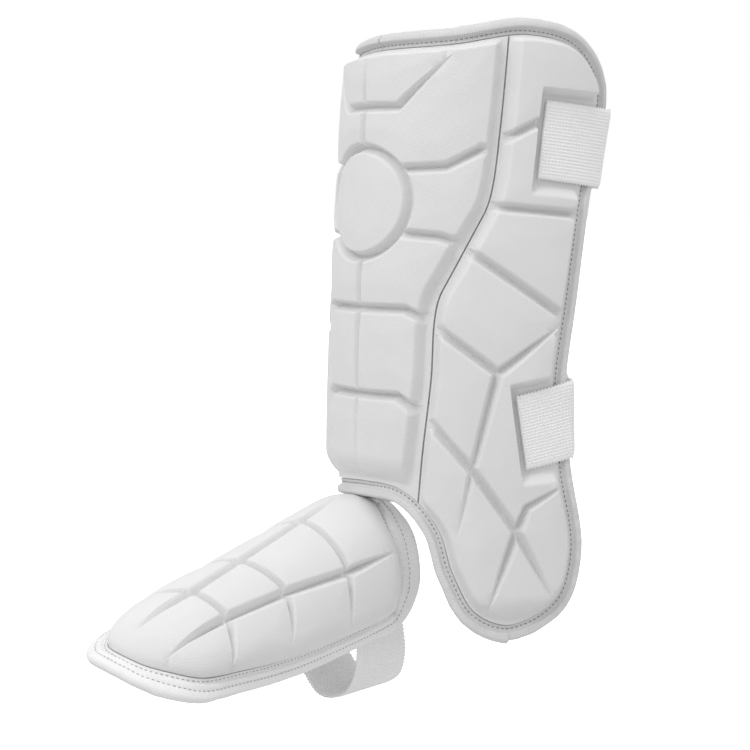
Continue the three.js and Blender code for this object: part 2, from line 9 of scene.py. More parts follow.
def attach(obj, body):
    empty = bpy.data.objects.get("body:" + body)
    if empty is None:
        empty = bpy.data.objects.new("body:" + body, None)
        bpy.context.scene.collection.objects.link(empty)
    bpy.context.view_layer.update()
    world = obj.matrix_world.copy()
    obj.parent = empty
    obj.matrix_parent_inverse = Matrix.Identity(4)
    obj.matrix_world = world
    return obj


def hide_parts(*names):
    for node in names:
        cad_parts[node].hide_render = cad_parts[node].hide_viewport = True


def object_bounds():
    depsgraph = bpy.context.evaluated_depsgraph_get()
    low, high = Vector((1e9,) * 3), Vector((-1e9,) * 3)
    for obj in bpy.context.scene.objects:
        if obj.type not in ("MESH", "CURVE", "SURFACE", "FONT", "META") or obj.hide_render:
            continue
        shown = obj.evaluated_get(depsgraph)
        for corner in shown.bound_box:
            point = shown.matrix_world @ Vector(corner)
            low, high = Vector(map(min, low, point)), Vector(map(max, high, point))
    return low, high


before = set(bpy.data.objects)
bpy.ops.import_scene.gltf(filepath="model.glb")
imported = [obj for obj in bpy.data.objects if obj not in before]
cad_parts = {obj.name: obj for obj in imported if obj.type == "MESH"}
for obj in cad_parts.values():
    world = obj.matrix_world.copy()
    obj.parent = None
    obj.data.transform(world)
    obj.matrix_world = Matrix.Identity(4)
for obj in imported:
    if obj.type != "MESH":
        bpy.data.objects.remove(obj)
cad_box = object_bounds()

# A batter's guard for the left leg. Lengths are in millimetres until a mesh is written in metres.
MM = 0.001

# Layers, as in the solids
LINER = 4
SHIN_FOAM = 10
FOOT_FOAM = 9
STITCHED_FOAM = 2.2
TAPE = 1.6
ELASTIC = 2
CLEARANCE = 0.4
SEAT = 0.9
LIP_SEAT = 0.54
SHIN_LIP = 9.5
FOOT_LIP = 11.5
FOOT_ROUND = 16
SEAM_GAP = 0.5
RECESS_FLOOR = 2.4

# Sheets that the layers bend round: level, crest, crest radius, side radius
LEG_BEND = 55
LEG_LEVELS = np.array([
    (-90, -72, 72, 150), (-40, -72, 72, 140), (0, -71.5, 72, 125), (60, -71, 71, 120),
    (120, -69, 68, 120), (190, -65, 62, 120), (270, -60, 58, 125)], float)
FOOT_BEND = 50
FOOT_LEVELS = np.array([
    (0, 10, 55, 90), (30, 0, 40, 90), (100, 0, 32, 90), (160, 0, 30, 90), (205, 1.5, 30, 90)], float)
FOOT_TOE = (34.4, -252.4, -62)
FOOT_YAW, FOOT_PITCH, FOOT_ROLL = 11.5, 15.5, 26
FLARE_RISE, FLARE_SLANT, FLARE_SPAN, FLARE_FADE = 5, 1 / 3, (200, 222), (5, 30)

# Edges as (around, level)
OUTER_EDGE = [
    (0, 264), (43, 266), (88, 272), (124, 263), (145, 236), (135, 170), (128, 113), (122, 62), (126, 20),
    (134, -30), (123, -63), (88, -80), (62, -70), (47, -44), (38, -18), (22, -3), (0, -1)]
INNER_EDGE = [
    (43, 261), (88, 261), (124, 251), (143, 230), (135, 170), (128, 113), (123, 62), (121, 24), (104, 4),
    (70, -7), (32, -3.5)]
FOOT_OUTER_EDGE = [
    (0, 213), (31, 208), (56.5, 199.5), (73, 183), (70, 155), (58, 84), (50, 50), (38, 18), (21, 2), (0, -7)]
FOOT_INNER_EDGE = [(31, 211), (58, 204), (75, 187), (70, 155), (58, 84), (51, 45), (43, 11), (28, -5)]
SEAM = np.array([
    (-4, 35.7), (24, 38), (69, 42.6), (109, 44.2), (117, 46.2), (125, 50), (157, 65.1), (164, 68.4),
    (172, 70.7), (209, 74), (264, 76.2)], float)

# Boss as (around, level, radius), and grooves as (line, fades towards its last point)
BOSS = (-3, 168.5, 31)
CREASES = [([(-3, 201), (-3, 250)], True), ([(-1, 136), (-0.5, 78), (0, 17)], True)]
FRONT_GROOVES = [
    ([(0, 222.5), (19.5, 222), (44, 248)], True),
    ([(25, 187.5), (46, 188.5), (62, 197.5)], False),
    ([(26, 151.5), (45, 149.7), (51, 147.5)], False),
    ([(0, 109), (29, 109), (38, 104.5)], False),
    ([(0, 60), (26, 60), (33.5, 54.5)], False)]
SIDE_GROOVES = [
    ([(77, 204.5), (92.5, 212.9)], False),
    ([(72, 166.3), (116, 162.2)], False),
    ([(61.5, 140.5), (110, 107.2)], False),
    ([(49, 96.4), (78, 73.5)], False),
    ([(78, 73.5), (110, 98.5)], True)]
EAR_GROOVES = [
    ([(78, 73.5), (65.5, 19), (59.5, -14)], True),
    ([(46, 43.5), (65.5, 19), (89.7, -16.4)], False),
    ([(89.7, -16.4), (110.5, -55)], True),
    ([(89.7, -16.4), (75.5, -58)], True),
    ([(89.7, -16.4), (95, -2.4), (117, 9.5)], True)]
FOOT_NEAR_BAND = [(25.5, 180), (22.6, 144), (15.5, 98), (12, 54), (9.7, 14)]
FOOT_FAR_BAND = [(-15, 183), (-13.5, 150), (-11.5, 94.5), (-9, 52.5), (-11.5, 16)]
FOOT_CROSS = [
    ((22.6, 144), (-13.5, 150), (45, 134)),
    ((15.5, 98), (-11.5, 94.5), (34.5, 87)),
    ((12, 54), (-9, 52.5), (30.3, 41))]

# Strap recesses: corners top front, top rear, bottom front, bottom rear
RECESSES = [
    ((94, 230.8), (150, 226.8), (91, 177.6), (150, 171)), ((84.5, 65), (150, 77), (91.5, 14.5), (150, 17))]

# Straps: height, lean, and for the top and bottom edge its line on the guard and its way round, as (x, y)
CALF_WAY = [(67, 50), (42, 62), (0, 67), (-42, 62), (-67, 50)]
LOW_CALF_WAY = [(60, 42), (39, 54), (0, 59), (-39, 54), (-60, 42)]
ANKLE_WAY = [(66, 20), (46, 40.5), (0, 50), (-46, 40.5), (-66, 20)]
LOW_ANKLE_WAY = [(70, 22), (47, 42), (0, 52), (-47, 42), (-70, 22)]
FOOT_STRAP_LEAN = 9
STRAPS = {
    "upper_strap": (
        RECESS_FLOOR, 0, [(99.5, 226), (145, 221.5)], CALF_WAY, [(96.5, 182), (138, 177)], LOW_CALF_WAY),
    "lower_strap": (
        RECESS_FLOOR, 0, [(89.5, 60.2), (123.5, 68)], ANKLE_WAY, [(96, 18.5), (124, 23.7)], LOW_ANKLE_WAY),
    "foot_strap": (
        -LINER - TAPE - CLEARANCE - ELASTIC - 2 * SEAT, FOOT_STRAP_LEAN,
        [(54, 196), (77, 199)], [(45, 78), (46, 94), (31, 107.6), (10, 101.6), (-14, 82)],
        [(60, 154), (73, 155)], [(40, 74), (38, 88), (25, 97.6), (6, 91.6), (-16, 76)])}

# Tab: half width, top, bottom, thickness
TAB = (18, 30, -3.3, 2)


def clamp01(t):
    return np.clip(t, 0, 1)


def smooth(low, high, x):
    t = clamp01((x - low) / (high - low))
    return t * t * (3 - 2 * t)


def round_off(share):
    return np.sqrt(1 - (1 - clamp01(share)) ** 2)


def ramp(low, high, x, start=0.12, finish=0.3):
    """A straight slope from 0 to 1, a little rounded where it starts and finishes."""
    t = clamp01((x - low) / (high - low))
    steep = 1 / (1 - (start + finish) / 2)
    made = steep * (t - start / 2)
    made = np.where(t < start, steep * t * t / (2 * start), made)
    return np.where(t > 1 - finish, 1 - steep * (1 - t) ** 2 / (2 * finish), made)


def column(rows, k, level):
    """A table's column at any level, as a smooth curve through its rows."""
    at, value = rows[:, 0], rows[:, k]
    x = np.clip(level, at[0], at[-1])
    i = np.clip(np.searchsorted(at, x) - 1, 0, len(at) - 2)
    slope = np.diff(value) / np.diff(at)
    bend = np.concatenate([slope[:1], (slope[1:] + slope[:-1]) / 2, slope[-1:]])
    width = at[i + 1] - at[i]
    t = (x - at[i]) / width
    ease = t * t * (3 - 2 * t)
    ends = t * (1 - t) ** 2 * bend[i] - t * t * (1 - t) * bend[i + 1]
    return value[i] + (value[i + 1] - value[i]) * ease + ends * width


def no_rise(around, level):
    return 0.0


def flare_rise(around, level):
    along = clamp01((level + FLARE_SLANT * around - FLARE_SPAN[0]) / (FLARE_SPAN[1] - FLARE_SPAN[0]))
    return FLARE_RISE * along ** 2 * smooth(*FLARE_FADE, around)


def sheet(rows, bend_degrees, place=None, rise_at=no_rise):
    """A function that puts (around, level) points and their heights on a bent sheet."""
    bend = math.radians(bend_degrees)

    def put(points, height):
        around, level = points[:, 0], points[:, 1]
        out = height + rise_at(around, level)
        crest, radius, flat = (column(rows, k, level) for k in (1, 2, 3))
        reach = np.abs(around)
        angle = np.where(reach < bend * radius, reach / radius, bend + (reach - bend * radius) / flat)
        arc = np.minimum(angle, bend)
        side = radius * np.sin(arc) + flat * (np.sin(angle) - np.sin(arc))
        back = radius * (1 - np.cos(arc)) + flat * (np.cos(arc) - np.cos(angle))
        x = np.sign(around) * (side + out * np.sin(angle))
        at = np.column_stack([x, crest + back - out * np.cos(angle), level])
        return at if place is None else at @ place[:3, :3].T + place[:3, 3]
    return put


def foot_place():
    turn = (Matrix.Rotation(math.radians(FOOT_YAW), 4, "Z")
            @ Matrix.Rotation(math.radians(FOOT_PITCH - 90), 4, "X")
            @ Matrix.Rotation(math.radians(FOOT_ROLL), 4, "Z"))
    return np.array(Matrix.Translation(FOOT_TOE) @ turn)


leg_sheet = sheet(LEG_LEVELS, LEG_BEND)
sole_sheet = sheet(FOOT_LEVELS, FOOT_BEND, foot_place())
foot_sheet = sheet(FOOT_LEVELS, FOOT_BEND, foot_place(), flare_rise)


def lengths(points):
    return np.concatenate([[0], np.cumsum(np.linalg.norm(np.diff(points, axis=0), axis=1))])


def resample(points, count):
    walked = lengths(points)
    at = np.linspace(0, walked[-1], count)
    return np.column_stack([np.interp(at, walked, points[:, k]) for k in range(points.shape[1])])


def spline(points, closed, fine=24):
    """Centripetal curve through points."""
    p = np.array(points, float)
    n = len(p)
    if closed:
        p = np.vstack([p[-1], p, p[:2]])
    else:
        p = np.vstack([2 * p[0] - p[1], p, 2 * p[-1] - p[-2]])
    out = []
    for i in range(n if closed else n - 1):
        a, b, c, d = p[i:i + 4]
        t0, t1, t2 = (max(np.linalg.norm(y - x), 1e-9) ** 0.5 for x, y in ((a, b), (b, c), (c, d)))
        m1 = ((b - a) / t0 - (c - a) / (t0 + t1) + (c - b) / t1) * t1
        m2 = ((c - b) / t1 - (d - b) / (t1 + t2) + (d - c) / t2) * t1
        t = np.linspace(0, 1, fine, endpoint=False)[:, None]
        out.append(b + m1 * t + (3 * (c - b) - 2 * m1 - m2) * t ** 2 + (2 * (b - c) + m1 + m2) * t ** 3)
    out.append(out[0][:1] if closed else p[-2:-1])
    return np.vstack(out)


def mirrored(line):
    return [(-around, level) for around, level in line]


def edge_loop(outer, inner, step):
    curve = spline(outer + mirrored(inner)[::-1], True)
    count = int(round(lengths(curve)[-1] / step))
    return resample(curve, count + 1)[:-1]


def inwards(loop):
    d = np.roll(loop, -1, axis=0) - np.roll(loop, 1, axis=0)
    d /= np.linalg.norm(d, axis=1)[:, None]
    return np.column_stack([d[:, 1], -d[:, 0]])


def inset(loop, distance):
    return loop + inwards(loop) * np.reshape(distance, (-1, 1))


def nearest(points, line):
    """Distance of each point from a line, and how far along the line that is, from 0 to 1."""
    line = np.asarray(line, float)
    walked = lengths(line)
    apart = np.full(len(points), np.inf)
    share = np.zeros(len(points))
    for i in range(len(line) - 1):
        p, d = line[i], line[i + 1] - line[i]
        size = d @ d
        if size < 1e-12:
            continue
        t = clamp01(((points - p) @ d) / size)
        far = np.hypot(points[:, 0] - p[0] - t * d[0], points[:, 1] - p[1] - t * d[1])
        closer = far < apart
        apart[closer] = far[closer]
        share[closer] = ((walked[i] + t * math.sqrt(size)) / walked[-1])[closer]
    return apart, share


def closed(loop):
    return np.vstack([loop, loop[:1]])


def within(points, loop):
    inside = np.zeros(len(points), bool)
    for p, q in zip(loop, np.roll(loop, -1, axis=0)):
        if p[1] == q[1]:
            continue
        crosses = (p[1] > points[:, 1]) != (q[1] > points[:, 1])
        inside ^= crosses & (points[:, 0] < p[0] + (q[0] - p[0]) * (points[:, 1] - p[1]) / (q[1] - p[1]))
    return inside


def trim(loop, keep, seam_point, step):
    """The part of a loop where keep is positive, closed along the seam where the loop leaves it."""
    value = keep(loop)
    n = len(loop)
    first = next(i for i in range(n) if value[i] <= 0 and value[(i + 1) % n] > 0) + 1
    kept = []
    for i in range(first, first + n):
        a, b = i % n, (i + 1) % n
        if value[a] <= 0:
            continue
        kept.append(loop[a])
        if value[b] > 0:
            continue
        j = i + 1
        while value[(j + 1) % n] <= 0:
            j += 1
        c, d = j % n, (j + 1) % n
        leave = loop[a] + (loop[b] - loop[a]) * value[a] / (value[a] - value[b])
        enter = loop[c] + (loop[d] - loop[c]) * value[c] / (value[c] - value[d])
        count = int(round(abs(enter[1] - leave[1]) / step))
        levels = np.linspace(leave[1], enter[1], count + 1)
        kept.extend(seam_point(levels, np.sign(leave[0])))
    kept = np.array(kept)
    gap = np.linalg.norm(np.roll(kept, -1, axis=0) - kept, axis=1)
    return kept[gap > step / 3]


# Room between a pad's points and its edge, as a share of their spacing
EDGE_CLEAR = 0.6


def hex_fill(loop, step):
    low, high = loop.min(0), loop.max(0)
    rise = step * math.sin(math.pi / 3)
    rows = np.arange(low[1], high[1], rise)
    starts = [np.arange(low[0] + (k % 2) * step / 2, high[0], step) for k in range(len(rows))]
    points = np.vstack([np.column_stack([row, np.full(len(row), level)]) for row, level in zip(starts, rows)])
    points = points[within(points, loop)]
    return points[nearest(points, closed(loop))[0] > step * EDGE_CLEAR]


def thin_out(points, room):
    """The points with none nearer than about a given room to an earlier one."""
    cells, kept = {}, []
    for i, (x, y) in enumerate(points):
        cx, cy = int(x // room), int(y // room)
        near = [cells[c] for c in ((cx + a, cy + b) for a in (-1, 0, 1) for b in (-1, 0, 1)) if c in cells]
        if all(math.hypot(x - points[j][0], y - points[j][1]) > room for j in near):
            cells[cx, cy] = i
            kept.append(i)
    return points[kept]


def triangles(loop, points):
    """Points and triangles inside a loop, which comes first."""
    every = np.vstack([loop, points])
    n = len(loop)
    edges = [(i, (i + 1) % n) for i in range(n)]
    made = delaunay_2d_cdt([Vector(p) for p in every], edges, [], 1, 1e-6, False)
    verts = np.array([tuple(v) for v in made[0]])
    faces = np.array(made[2])
    return verts, faces[within(verts[faces].mean(axis=1), loop)]


def mesh_piece(name, verts, faces, uv, material, sharp=40):
    """A smooth mesh from points in millimetres, with a map in millimetres for its weave."""
    mesh = bpy.data.meshes.new(name)
    faces = [tuple(int(i) for i in f) for f in faces]
    mesh.from_pydata((verts * MM).tolist(), [], faces)
    mesh.shade_smooth()
    mesh.set_sharp_from_angle(angle=math.radians(sharp))
    loops = np.empty(len(mesh.loops), int)
    mesh.loops.foreach_get("vertex_index", loops)
    mesh.uv_layers.new(name="weave").data.foreach_set("uv", (uv[loops] * MM).astype(np.float32).ravel())
    mesh.materials.append(material)
    piece = bpy.data.objects.new(name, mesh)
    bpy.context.scene.collection.objects.link(piece)
    return piece


def slab(name, surface, loop, points, height, back, back_step, material):
    """A closed pad over a loop: a front face of given heights, a plain back face and a wall."""
    front, front_faces = triangles(loop, points)
    rear, rear_faces = triangles(loop, hex_fill(loop, back_step))
    n, shift = len(loop), len(front)
    verts = np.vstack([surface(front, height(front)), surface(rear, back(rear))])
    i = np.arange(n)
    j = (i + 1) % n
    wall = np.vstack([np.column_stack([i, j, shift + j]), np.column_stack([i, shift + j, shift + i])])
    faces = np.vstack([front_faces, rear_faces[:, ::-1] + shift, wall])
    return mesh_piece(name, verts, faces, np.vstack([front, rear]), material)


# Fabric materials
SPECULAR, SHEEN_ROUGHNESS = 0.25, 0.5
CLOUD_SIZE, CLOUD_DETAIL, CLOUD_SHARE = 24, 2.0, 0.5
ROUGHNESS_SPREAD, WHITEST = 0.08, 0.98
BLUISH = 1.005


def material(name, base, roughness, sheen):
    made = bpy.data.materials.new(name)
    made.use_nodes = True
    nodes = made.node_tree.nodes
    shader = nodes["Principled BSDF"]
    shader.inputs["Base Color"].default_value = (*base, 1)
    shader.inputs["Roughness"].default_value = roughness
    shader.inputs["Specular IOR Level"].default_value = SPECULAR
    shader.inputs["Sheen Weight"].default_value = sheen
    shader.inputs["Sheen Roughness"].default_value = SHEEN_ROUGHNESS
    return made, made.node_tree, shader


def node(tree, kind, inputs=(), **settings):
    made = tree.nodes.new(kind)
    for key, value in settings.items():
        setattr(made, key, value)
    for key, value in dict(inputs).items():
        if isinstance(value, bpy.types.NodeSocket):
            tree.links.new(value, made.inputs[key])
        else:
            made.inputs[key].default_value = value
    return made


def weave_map(tree, turn=0.0):
    place = node(tree, "ShaderNodeUVMap", uv_map="weave")
    inputs = {"Vector": place.outputs["UV"], "Rotation": (0, 0, math.radians(turn))}
    return node(tree, "ShaderNodeMapping", inputs).outputs["Vector"]


def stripes(tree, vector, pitch, distortion=0.0):
    """Even stripes across the map's first axis, pitch in millimetres."""
    inputs = {"Vector": vector, "Scale": math.pi / (10 * pitch * MM), "Distortion": distortion,
              "Detail": 1.0, "Detail Scale": 1.0}
    return node(tree, "ShaderNodeTexWave", inputs, wave_type="BANDS", bands_direction="X").outputs["Fac"]


def speckle(tree, vector, size, detail=3.0):
    inputs = {"Vector": vector, "Scale": 1 / (size * MM), "Detail": detail, "Roughness": 0.6}
    return node(tree, "ShaderNodeTexNoise", inputs).outputs["Fac"]


def blend(tree, factor, dark, light):
    made = node(tree, "ShaderNodeMix", data_type="RGBA")
    tree.links.new(factor, made.inputs["Factor"])
    made.inputs[6].default_value = (*dark, 1)
    made.inputs[7].default_value = (*light, 1)
    return made.outputs[2]


def added(tree, a, b, share):
    return node(tree, "ShaderNodeMath", {0: a, 1: share, 2: b}, operation="MULTIPLY_ADD").outputs[0]


def ranged(tree, value, low, high):
    return node(tree, "ShaderNodeMapRange", {"Value": value, "To Min": low, "To Max": high}).outputs["Result"]


def fabric(name, tone, spread, roughness, sheen, patterns, bump):
    """Cloth whose tone, roughness and relief come from sums of stripes and speckles."""
    made, tree, shader = material(name, tone, roughness, sheen)
    total = None
    for kind, turn, pitch, share, distortion in patterns:
        vector = weave_map(tree, turn)
        if kind == "stripes":
            value = stripes(tree, vector, pitch, distortion)
        else:
            value = speckle(tree, vector, pitch)
        scaled = node(tree, "ShaderNodeMath", {0: value, 1: share}, operation="MULTIPLY").outputs[0]
        total = scaled if total is None else node(
            tree, "ShaderNodeMath", {0: total, 1: scaled}, operation="ADD").outputs[0]
    cloud = speckle(tree, weave_map(tree), CLOUD_SIZE, CLOUD_DETAIL)
    mixed = added(tree, cloud, total, CLOUD_SHARE)
    dark = tuple(c - spread for c in tone)
    light = tuple(min(c + spread, WHITEST) for c in tone)
    tree.links.new(blend(tree, mixed, dark, light), shader.inputs["Base Color"])
    uneven = ranged(tree, mixed, roughness - ROUGHNESS_SPREAD, roughness + ROUGHNESS_SPREAD)
    tree.links.new(uneven, shader.inputs["Roughness"])
    relief = node(tree, "ShaderNodeBump", {"Height": total, "Distance": bump * MM, "Strength": 1.0})
    tree.links.new(relief.outputs["Normal"], shader.inputs["Normal"])
    return made


def grey(value):
    return (value, value, value * BLUISH)


# Each pattern: kind, turn in degrees, pitch in millimetres, share, distortion
KNIT = fabric("knit_foam", grey(0.72), 0.06, 0.82, 0.12, [
    ("stripes", 76, 1.1, 0.4, 1.2), ("speckle", 0, 0.8, 0.6, 0)], 0.14)
SIDE_KNIT = fabric("side_knit_foam", grey(0.72), 0.06, 0.82, 0.12, [
    ("stripes", 28, 1.1, 0.4, 1.2), ("speckle", 0, 0.8, 0.6, 0)], 0.14)
FOOT_KNIT = fabric("foot_knit_foam", grey(0.74), 0.06, 0.82, 0.12, [
    ("speckle", 0, 0.8, 0.8, 0), ("stripes", 35, 1.2, 0.2, 2.5)], 0.12)
BACKING = fabric("backing", grey(0.7), 0.05, 0.9, 0.2, [
    ("stripes", 45, 1.3, 0.35, 2.0), ("stripes", -45, 1.3, 0.35, 2.0), ("speckle", 0, 1.2, 0.3, 0)], 0.15)
RIBBED = fabric("ribbed_tape", grey(0.71), 0.08, 0.8, 0.1, [
    ("stripes", 14, 0.95, 0.7, 0.6), ("speckle", 0, 0.8, 0.3, 0)], 0.24)
FOOT_RIBBED = fabric("foot_ribbed_tape", grey(0.84), 0.09, 0.8, 0.1, [
    ("stripes", 12, 1.1, 0.7, 0.6), ("speckle", 0, 0.8, 0.3, 0)], 0.2)
PLUSH = fabric("plush_tape", grey(0.6), 0.1, 0.9, 0.3, [
    ("speckle", 0, 0.9, 0.6, 0), ("stripes", 0, 1.3, 0.4, 1.5)], 0.3)
ELASTIC_WEAVE = fabric("elastic_weave", grey(0.9), 0.06, 0.75, 0.1, [
    ("stripes", 0, 1.05, 0.5, 0.4), ("stripes", 90, 0.6, 0.3, 0.4), ("speckle", 0, 0.5, 0.2, 0)], 0.1)
THREAD = fabric("thread", grey(0.24), 0.05, 0.7, 0.1, [
    ("stripes", 30, 0.35, 0.7, 0), ("speckle", 0, 0.4, 0.3, 0)], 0.04)
PALE_THREAD = fabric("pale_thread", grey(0.4), 0.06, 0.7, 0.1, [
    ("stripes", 30, 0.35, 0.7, 0), ("speckle", 0, 0.4, 0.3, 0)], 0.04)


# Foam panels: spacing of points along edges, over fronts, over backs, and at the nearest
SHIN_STEP, FOOT_STEP = 1.2, 1.1
FINE, INNER_FINE, FOOT_FINE = 0.85, 1.3, 0.95
BACK_STEP, FOOT_BACK_STEP, LINER_STEP, TAB_STEP = 10, 8, 4, 2
CLOSEST = 0.44

# Close rows of points beside grooves, as shares of their reach, and beside recess walls
GROOVE_ROWS = np.array([0, 0.07, 0.14, 0.32, 0.5, 0.68, 0.84, 1.0, 1.18])
GROOVE_CLEAR = 1.3
RECESS_ROWS = [-1.1, -0.5, 0, 0.45, 0.9, 1.5, 2.3, 2.7, 3.1, 3.8]
RECESS_PAST = 6
ROW_STEP = 0.9

# Grooves and creases, and how they run out at their tips
GROOVE_FLOOR = 0.1
GROOVE_REACH, GROOVE_DEPTH = 3.7, 6.4
CREASE_REACH, CREASE_DEPTH, CREASE_ROUND = 2.8, 4.4, (0.12, 0.4)
FOOT_REACH, FOOT_DEPTH = 3.0, 6.8
TIP_DEPTH, TIP_WIDTH, TIP_LATE = 0.12, 0.3, 1.8

# Crown of the foam, and slopes down to its seams, edges and foot
CROWN, CROWN_REACH = 0.7, 16
FLANGE, FRONT_BEVEL = 3.8, 5.0
SIDE_FLANGE, SIDE_BEVEL = 1.2, 5.2
EDGE_FLANGE, EDGE_SLOPE = 0.8, 5.0
TOP_SLOPE, TOP_FACING = 3.0, (-1, -0.6)
FRONT_FOOT, EAR_FOOT, INNER_FOOT = (8, 26), (-70, -52), (6, 22)
BOTTOM_ROUND = (0.1, 0.6)
SEAM_PAST, SEAM_POINTS = 12, 70

# Strap recesses: wall, ledge, pocket in front of the strap, and slopes above and below
WALL = 0.9
LEDGE_HEIGHT = 3.6
LEDGE_DOWN = (1.7, 2.2)
POCKET, POCKET_REACH = 1.1, 7
SLOPE = 2.6
LOW_SLOPE, LOW_ROUND = (-5.0, 3.0), (0.4, 0.4)


def groove_cut(points, grooves, reach, depth, wall):
    cut = np.zeros(len(points))
    for line, tip in grooves:
        apart, share = nearest(points, line)
        late = share ** TIP_LATE
        fade = 1 - (1 - TIP_DEPTH) * late if tip else np.ones_like(share)
        slim = 1 - (1 - TIP_WIDTH) * late if tip else np.ones_like(share)
        cut = np.maximum(cut, depth * fade * (1 - wall(GROOVE_FLOOR, reach, apart / slim)))
    return cut


def crease_wall(low, high, x):
    return ramp(low, high, x, *CREASE_ROUND)


def groove_apart(points, grooves):
    return np.min([nearest(points, line)[0] for line, tip in grooves], axis=0)


def signed(points, a, b):
    """Distance of points to the right of the line from a to b."""
    a, b = np.array(a, float), np.array(b, float)
    d = (b - a) / np.linalg.norm(b - a)
    return (points[:, 0] - a[0]) * d[1] - (points[:, 1] - a[1]) * d[0]


def sink(points, height, recess):
    top_front, top_rear, bottom_front, bottom_rear = recess
    inside = signed(points, bottom_front, top_front)
    sides = np.minimum(
        ramp(-SLOPE, SLOPE, signed(points, top_front, top_rear)),
        ramp(*LOW_SLOPE, signed(points, bottom_rear, bottom_front), *LOW_ROUND))
    low = POCKET + (RECESS_FLOOR - POCKET) * smooth(LEDGE_DOWN[1], POCKET_REACH, inside)
    ledge = np.minimum(LEDGE_HEIGHT, height)
    down = smooth(*LEDGE_DOWN, inside)
    floor = ledge + (np.minimum(low, height) - ledge) * down
    share = smooth(0, WALL, inside) * sides
    return height + (np.minimum(floor, height) - height) * share


def both_sides(grooves):
    return grooves + [(mirrored(line), tip) for line, tip in grooves]


def ring(centre, level, radius, count=72):
    turn = np.linspace(0, 2 * math.pi, count + 1)
    return np.column_stack([centre + radius * np.cos(turn), level + radius * np.sin(turn)])


shin_loop = edge_loop(OUTER_EDGE, INNER_EDGE, SHIN_STEP)
foam_loop = inset(shin_loop, SHIN_LIP + CLEARANCE)
foam_edge = closed(foam_loop[::3])
foam_shares = lengths(foam_edge) / lengths(foam_edge)[-1]
facing_down = closed(inwards(foam_loop)[::3])[:, 1]
foam_slopes = TOP_SLOPE + (EDGE_SLOPE - TOP_SLOPE) * smooth(*TOP_FACING, facing_down)


def seam_around(level):
    return column(SEAM, 1, np.asarray(level, float))


def seam_line(side):
    levels = np.linspace(SEAM[0, 0] - SEAM_PAST, SEAM[-1, 0] + SEAM_PAST, SEAM_POINTS)
    return np.column_stack([side * seam_around(levels), levels])


seams = [seam_line(1), seam_line(-1)]


def front_seam(levels, side):
    return np.column_stack([side * (seam_around(levels) - SEAM_GAP), levels])


def side_seam(levels, side):
    return np.column_stack([side * (seam_around(levels) + SEAM_GAP), levels])


front_loop = trim(foam_loop, lambda p: seam_around(p[:, 1]) - SEAM_GAP - np.abs(p[:, 0]), front_seam, FINE)
outer_loop = trim(foam_loop, lambda p: p[:, 0] - seam_around(p[:, 1]) - SEAM_GAP, side_seam, FINE)
inner_loop = trim(foam_loop, lambda p: -p[:, 0] - seam_around(p[:, 1]) - SEAM_GAP, side_seam, FINE)


def shin_height(flange, bevel, foot, grooves, creases, recesses, side=1):
    def height(points):
        edge, share = nearest(points, foam_edge)
        seam = np.min([nearest(points, line)[0] for line in seams], axis=0)
        slope = np.interp(share, foam_shares, foam_slopes)
        rise = ramp(0, 1, (edge - EDGE_FLANGE) / slope) * ramp(flange, flange + bevel, seam)
        rise = rise * ramp(*foot, points[:, 1], *BOTTOM_ROUND)
        full = STITCHED_FOAM + (SHIN_FOAM - STITCHED_FOAM) * rise
        free = np.minimum(groove_apart(points, grooves), np.minimum(seam - flange, edge))
        full = full + CROWN * rise * smooth(0, CROWN_REACH, free) - CROWN / 2 * rise
        cut = groove_cut(points, grooves, GROOVE_REACH, GROOVE_DEPTH, ramp)
        if creases:
            cut = np.maximum(cut, groove_cut(points, creases, CREASE_REACH, CREASE_DEPTH, crease_wall))
        made = np.maximum(full - cut, np.minimum(full, STITCHED_FOAM))
        flipped = points * (side, 1)
        for recess in recesses:
            made = sink(flipped, made, recess)
        return made
    return height


def recess_points(recess, side):
    """Close rows of points along the wall of a recess."""
    top, bottom = np.array(recess[0], float), np.array(recess[2], float)
    d = (bottom - top) / np.linalg.norm(bottom - top)
    normal = np.array([-d[1], d[0]])
    steps = np.arange(-RECESS_PAST, np.linalg.norm(bottom - top) + RECESS_PAST, ROW_STEP)
    points = np.vstack([top + np.outer(steps, d) + normal * r for r in RECESS_ROWS])
    return points * (side, 1)


def groove_points(grooves, reach):
    """Close rows of points along the floor, walls and shoulders of grooves."""
    rows = GROOVE_ROWS * reach
    found = []
    for line, tip in grooves:
        line = np.asarray(line, float)
        path = resample(line, max(int(lengths(line)[-1] / ROW_STEP), 2))
        d = np.gradient(path, axis=0)
        d /= np.linalg.norm(d, axis=1)[:, None]
        across = np.column_stack([d[:, 1], -d[:, 0]])
        slim = 1 - (1 - TIP_WIDTH) * np.linspace(0, 1, len(path)) ** TIP_LATE if tip else np.ones(len(path))
        for r in rows:
            found += [path + across * (slim * r)[:, None], path - across * (slim * r)[:, None]]
    return np.vstack(found)


def foam_points(loop, recesses, grooves, reach, side=1, step=FINE):
    extra = [recess_points(recess, side) for recess in recesses] + [groove_points(grooves, reach)]
    grid = hex_fill(loop, step)
    grid = grid[groove_apart(grid, grooves) > GROOVE_CLEAR * reach]
    extra = np.vstack(extra)
    extra = extra[within(extra, loop)]
    extra = extra[nearest(extra, closed(loop))[0] > step * EDGE_CLEAR]
    return thin_out(np.vstack([extra, grid]), CLOSEST)


def plain(value):
    return lambda points: np.full(len(points), float(value))


def clear_of_boss(line):
    """A line whose first point is moved out to the boss's ring."""
    middle = np.array(BOSS[:2], float)
    first = np.array(line[0], float) - middle
    far = np.linalg.norm(first)
    return line if far >= BOSS[2] else [tuple(middle + first * BOSS[2] / far), *line[1:]]


